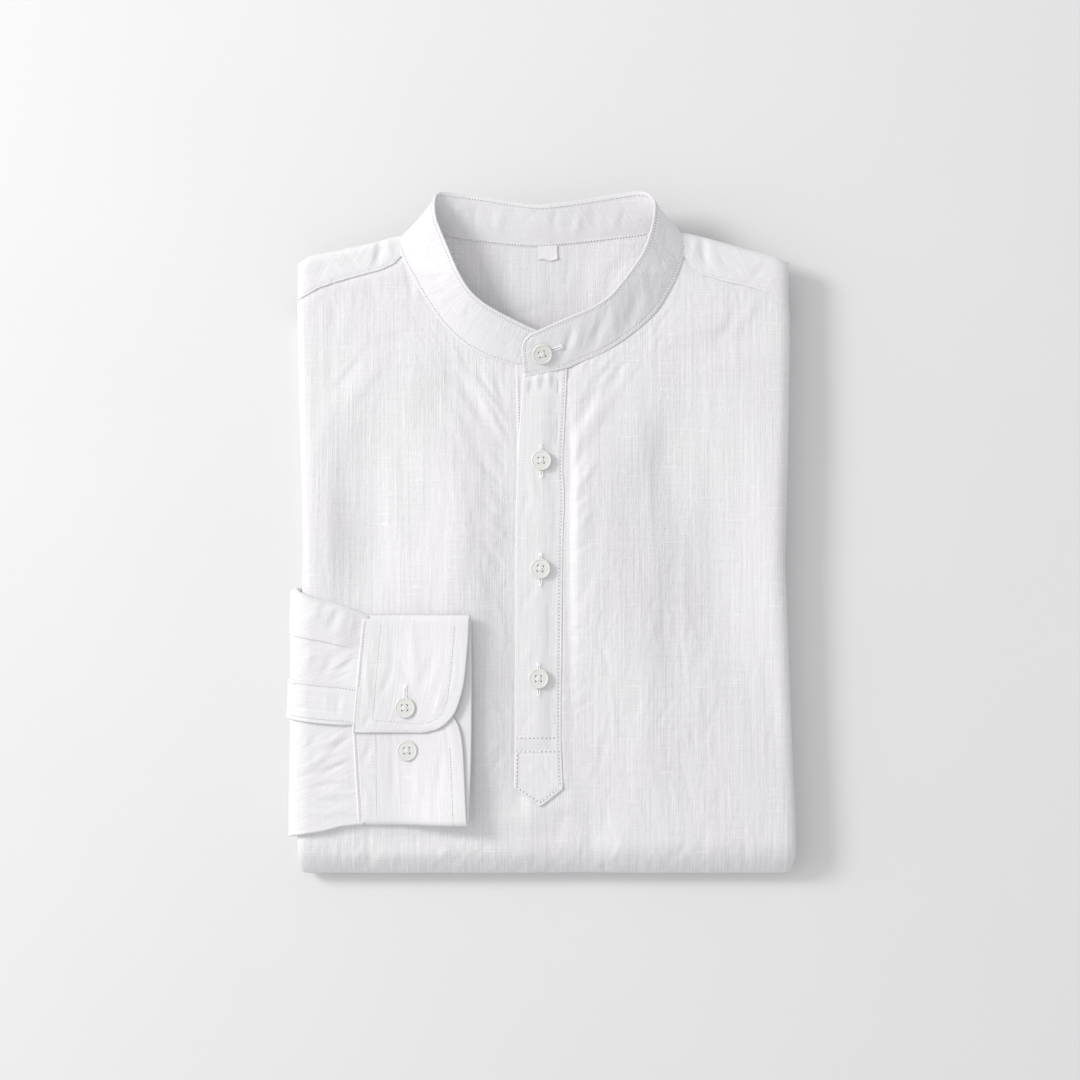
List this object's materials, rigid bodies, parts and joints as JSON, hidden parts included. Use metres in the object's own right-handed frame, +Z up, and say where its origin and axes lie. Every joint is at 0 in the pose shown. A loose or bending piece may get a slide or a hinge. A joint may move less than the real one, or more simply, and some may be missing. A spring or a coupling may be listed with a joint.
{
  "type": "folded henley shirt",
  "caption": "Long-sleeved band-collar henley shirt in plain linen, folded flat face up with a buttoned placket and one cuff brought round to the front.",
  "frame": {"origin": "middle of the folded shirt's footprint, on the surface that it lies on", "axes": "+Z up out of the chest, +Y from the tail fold to the collar, +X to the side away from the folded cuff"},
  "size_m": [0.2855, 0.3822, 0.0352],
  "materials": {
    "linen": "matt, plain-weave linen with slubs",
    "linen_folded_away": "matt, plain-weave linen",
    "button": "satin, off-white, pearly"
  },
  "bodies": {
    "root": {"front": "linen", "yoke": "linen", "back": "linen", "collar_band": "linen", "placket_strip": "linen", "button_stand": "linen", "sleeve": "linen", "sleeve_placket": "linen", "cuff": "linen", "neck_label": "linen", "hidden_layers": "linen_folded_away", "button_collar": "button", "button_placket_1": "button", "button_placket_2": "button", "button_placket_3": "button", "button_cuff_upper": "button", "button_cuff_lower": "button"}
  },
  "joints": []
}
